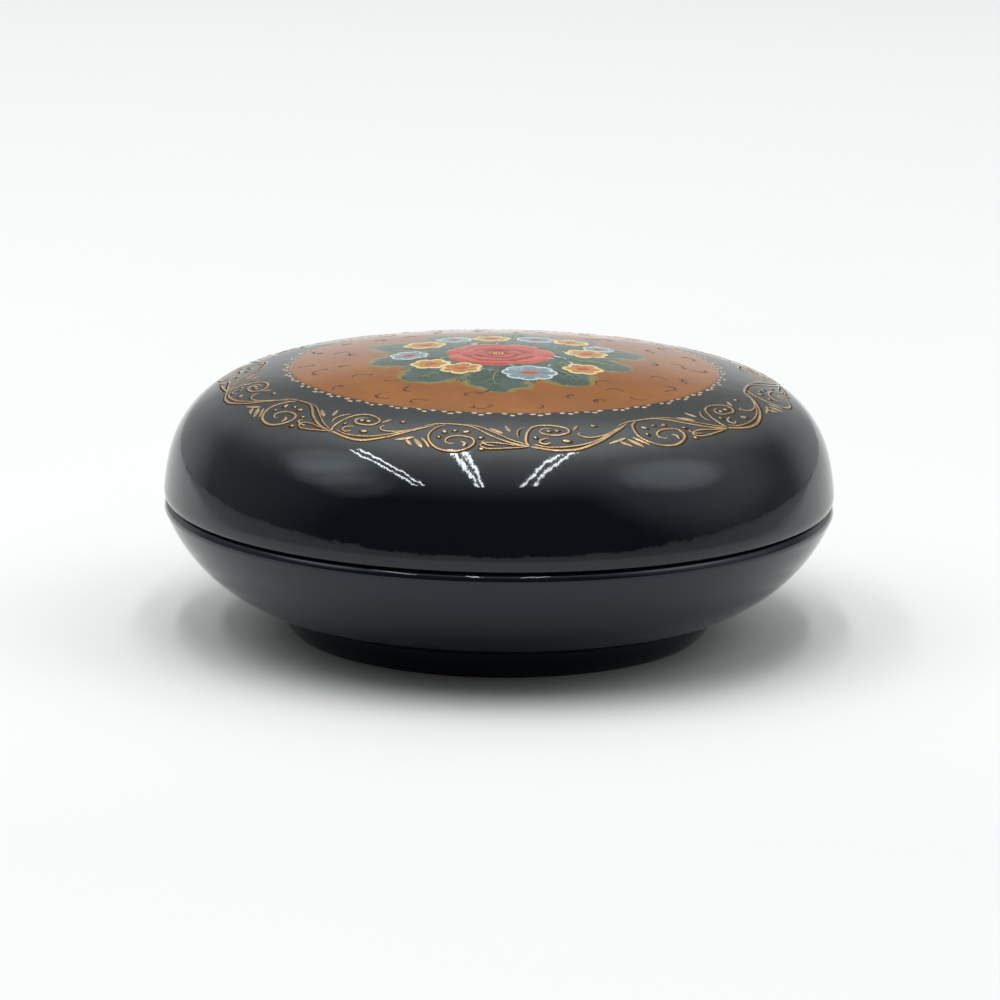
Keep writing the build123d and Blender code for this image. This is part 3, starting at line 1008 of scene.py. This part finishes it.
def tendrils(dark):
    """Dark curls with a few dabs, strewn over the copper ground outside the leaf mass."""
    draw = random.Random(51)
    vary = draw.uniform
    for ring, count in TENDRIL_RINGS:
        for k in range(count):
            angle = 2 * pi * (k + vary(-0.25, 0.25)) / count
            radius = ring + vary(-0.9, 0.9)
            x, y = radius * heading(angle)
            if leaf_mass(x, y) > 0.3:
                continue
            turn = vary(0, 360)
            size = vary(0.8, 1.4)
            hand = draw.choice((-1, 1))
            path = circle_path(x, y, size, turn, turn + hand * vary(120, 220), 12)
            tail = path[-1] + (path[-1] - path[-2]) * vary(3, 8)
            path = np.vstack([path, smooth_curve([path[-1], tail], 4)[1:]])
            dark.stroke(path, vary(0.42, 0.62), 0.05, 0.25, 0.5, vary(0.1, 0.6), 3)
            for i in (4, len(path) - 3):
                if draw.random() < 0.7:
                    at = path[i] + (vary(-0.5, 0.5), vary(-0.5, 0.5))
                    dark.dot(*at, vary(0.8, 1.3), vary(0.4, 0.6), vary(0, pi), 0.06, vary(0.2, 0.7))


# The bouquet's paints: piece, material, its dark, middle and light colour, and for the curls,
# which have little varnish, the index of refraction and the coat
BOUQUET_PAINTS = {
    "rose_petals": ("rose_paint", (0.3, 0.02, 0.012), (0.58, 0.075, 0.04), (0.82, 0.24, 0.15)),
    "rose_heart": ("rose_heart_paint", (0.45, 0.2, 0.05), (0.8, 0.5, 0.14), (0.9, 0.7, 0.3)),
    "yellow_petals": ("yellow_paint", (0.42, 0.13, 0.02), (0.62, 0.24, 0.04), (0.76, 0.38, 0.07)),
    "yellow_rims": ("yellow_rim_paint", (0.74, 0.42, 0.1), (0.87, 0.63, 0.22), (0.93, 0.78, 0.42)),
    "flower_hearts": ("heart_paint", (0.25, 0.045, 0.015), (0.46, 0.1, 0.035), (0.66, 0.2, 0.07)),
    "blue_petals": ("blue_paint", (0.12, 0.19, 0.22), (0.22, 0.32, 0.36), (0.4, 0.5, 0.52)),
    "blue_rims": ("blue_rim_paint", (0.36, 0.46, 0.5), (0.55, 0.65, 0.66), (0.75, 0.82, 0.8)),
    "leaf_bodies": ("leaf_paint", (0.03, 0.06, 0.045), (0.06, 0.11, 0.08), (0.13, 0.19, 0.1)),
    "leaf_veins": ("vein_paint", (0.16, 0.2, 0.07), (0.3, 0.34, 0.12), (0.45, 0.47, 0.2)),
    "tendrils": (
        "tendril_paint", (0.05, 0.016, 0.007), (0.1, 0.034, 0.014), (0.16, 0.065, 0.028), 1.2, 0.15,
    ),
}


def bouquet():
    """Paints the bouquet, from the curls up to the flowers, and makes one piece of each paint."""
    paint = {name: Paint(on_ground) for name in BOUQUET_PAINTS}
    tendrils(paint["tendrils"])
    leaves(paint["leaf_bodies"], paint["leaf_veins"])
    small_sprigs(paint["blue_rims"], paint["blue_petals"], paint["leaf_bodies"])
    rose(paint["rose_petals"], paint["rose_heart"])
    heart = paint["flower_hearts"]
    small_flowers(YELLOW_FLOWERS, paint["yellow_petals"], paint["yellow_rims"], heart, 61, 0.85)
    small_flowers(BLUE_FLOWERS, paint["blue_petals"], paint["blue_rims"], heart, 62, 0.5)
    for name, values in BOUQUET_PAINTS.items():
        paint[name].finish(name, tempera(*values))


bouquet()


# The studio

# The paper's tone carries painted light and shade: lighter away from the viewer as a painted pool of
# light, darker towards the viewer and pale grey past its bright part as painted shade.
PAPER_HALF = 2500.0  # half the sheet's width
PAPER_BACK = (100.0, 800.0)  # y from which and to which it grows lighter, away from the viewer
PAPER_NEAR = (-40.0, -120.0)  # and darker, towards the viewer

# The bright part of the paper: how far it reaches in front and to the sides, how much it widens
# behind the box, and the length over which its tone falls off into painted shade
PAPER_FRONT = 192.0
PAPER_SIDE = 155.0
PAPER_FLARE = 0.8
PAPER_FADE = 190.0


def make_floor():
    """A wide sheet of white paper under the box. Its tone is painted light and shade: lighter behind,
    darker towards the viewer, and falling off to pale grey in front and at the sides.
    """
    s = Shader("paper", Roughness=0.9, IOR=1.3)
    s.main.inputs["Specular IOR Level"].default_value = 0.2
    tone = s.ramp(s.noise(9.0, 3.0), (0.3, (0.885, 0.888, 0.874)), (0.7, (0.9, 0.902, 0.888)))
    x, y = s.node("SeparateXYZ", {"Vector": s.place}).outputs[:2]
    # Painted light and shade: lighter behind the box, darker towards the viewer.
    tone = s.mix(s.spread(y, *(at * MM for at in PAPER_BACK)), tone, (0.95, 0.952, 0.94))
    tone = s.mix(s.spread(y, *(at * MM for at in PAPER_NEAR)), tone, (0.85, 0.852, 0.84))
    side = s.math("ABSOLUTE", x)
    back = s.math("MAXIMUM", y, 0.0)
    side = s.math("MAXIMUM", s.math("SUBTRACT", side, s.math("MULTIPLY", back, PAPER_FLARE)), 0.0)
    side = s.math("POWER", s.math("MULTIPLY", side, PAPER_FRONT / PAPER_SIDE), 2.0)
    front = s.math("POWER", s.math("MINIMUM", y, 0.0), 2.0)
    past = s.math("SUBTRACT", s.math("SQRT", s.math("ADD", side, front)), PAPER_FRONT * MM)
    painted_falloff = s.spread(past, 0.0, PAPER_FADE * MM, smooth=True)
    # Painted shade: past its bright part the paper turns pale grey.
    s.set(Base_Color=s.mix(painted_falloff, tone, (0.55, 0.552, 0.545)))
    corners = [(x * PAPER_HALF, y * PAPER_HALF, 0) for x, y in ((-1, -1), (1, -1), (1, 1), (-1, 1))]
    floor = new_object("paper_floor", corners, [(0, 1, 2, 3)])
    floor.data.materials.append(s.material)


def direction(azimuth, elevation):
    """Unit vector towards a place in the studio. Azimuth 0 is towards the viewer, 90 to the right."""
    a = radians(azimuth)
    e = radians(elevation)
    return Vector((sin(a) * cos(e), -cos(a) * cos(e), sin(e)))


WORLD_COLOUR = (0.98, 1.0, 1.015, 1.0)
WORLD_BASE = 0.08  # strength where no glow reaches
WORLD_GLOWS = [
    # azimuth, elevation, angle of full strength, angle where it ends, strength
    (180, 80, 5, 65, 0.66), (180, 90, 5, 40, 0.24), (178, 62, 5, 31, 0.58),
    (-96, 51, 1, 16, 0.85), (-80, 46, 1, 17, 0.8), (-62, 41, 1, 16, 0.45),
    (83, 46, 3, 20, 1.05), (80, 32, 3, 40, 0.48), (-104, 26, 3, 51, 0.21),
    (112, 22, 3, 50, 0.18), (-150, 0, 3, 36, 0.46), (152, 0, 3, 34, 0.46),
    (180, 0, 2, 22, 0.32), (180, 22, 3, 30, 0.04),
]


def make_world():
    """The studio's surroundings: soft round glows, most of them overhead, behind and to the sides."""
    world = bpy.data.worlds.new("studio")
    bpy.context.scene.world = world
    world.use_nodes = True
    tree = world.node_tree
    aim = add_node(tree, "TexCoord").outputs["Generated"]
    total = WORLD_BASE
    for azimuth, elevation, inner, outer, strength in WORLD_GLOWS:
        dot = add_node(tree, "VectorMath", {0: aim, 1: direction(azimuth, elevation)},
                       operation="DOT_PRODUCT")
        limits = {1: cos(radians(outer)), 2: cos(radians(inner)), 3: 0.0, 4: strength}
        fade = add_node(tree, "MapRange", {0: dot.outputs["Value"], **limits},
                        interpolation_type="SMOOTHSTEP")
        added = add_node(tree, "Math", {0: fade.outputs[0], 1: total}, operation="ADD")
        total = added.outputs[0]
    background = tree.nodes["Background"]
    tree.links.new(total, background.inputs["Strength"])
    background.inputs["Color"].default_value = WORLD_COLOUR


TUBE_HEIGHT = 1500.0
TUBE_WIDTH = 20.0
TUBE_RADIANCE = 23.0
TUBES = [
    # x and y of the near end, x and y of the far end
    (-745.0, -948.0, -745.0, 393.0), (-667.0, -948.0, -667.0, 393.0),
    (-195.0, -1033.0, -195.0, 405.0), (-145.0, -1033.0, -145.0, 405.0),
    (185.0, -1010.0, 265.0, 247.0), (274.0, -915.0, 317.0, 334.0),
]


def make_tubes():
    """Ceiling tubes in three pairs, running away from the viewer."""
    for i, (near_x, near_y, far_x, far_y) in enumerate(TUBES):
        data = bpy.data.lights.new(f"tube_{i}", "AREA")
        data.shape = "RECTANGLE"
        data.size = TUBE_WIDTH * MM
        data.size_y = hypot(far_x - near_x, far_y - near_y) * MM
        data.energy = TUBE_RADIANCE * pi * data.size * data.size_y
        lamp = bpy.data.objects.new(data.name, data)
        lamp.location = Vector(((near_x + far_x) / 2, (near_y + far_y) / 2, TUBE_HEIGHT)) * MM
        lamp.rotation_euler = (0, 0, -atan2(far_x - near_x, far_y - near_y))
        bpy.context.scene.collection.objects.link(lamp)


def make_camera():
    """The photograph's view of the box."""
    data = bpy.data.cameras.new("camera")
    data.sensor_width = SENSOR
    data.lens = SENSOR * CAMERA_DISTANCE / FRAME_WIDTH
    data.clip_start = 0.05
    data.clip_end = 20.0
    camera = bpy.data.objects.new("camera", data)
    back = Vector((0, -cos(CAMERA_ELEVATION), sin(CAMERA_ELEVATION)))
    camera.location = (Vector(CAMERA_AIM) + CAMERA_DISTANCE * back) * MM
    turned = back.to_track_quat("Z", "Y").to_matrix() @ Matrix.Rotation(CAMERA_ROLL, 3, "Z")
    camera.rotation_euler = turned.to_euler()
    bpy.context.scene.collection.objects.link(camera)
    bpy.context.scene.camera = camera


make_floor()
make_world()
make_tubes()
make_camera()
bpy.context.scene.view_settings.view_transform = "Standard"
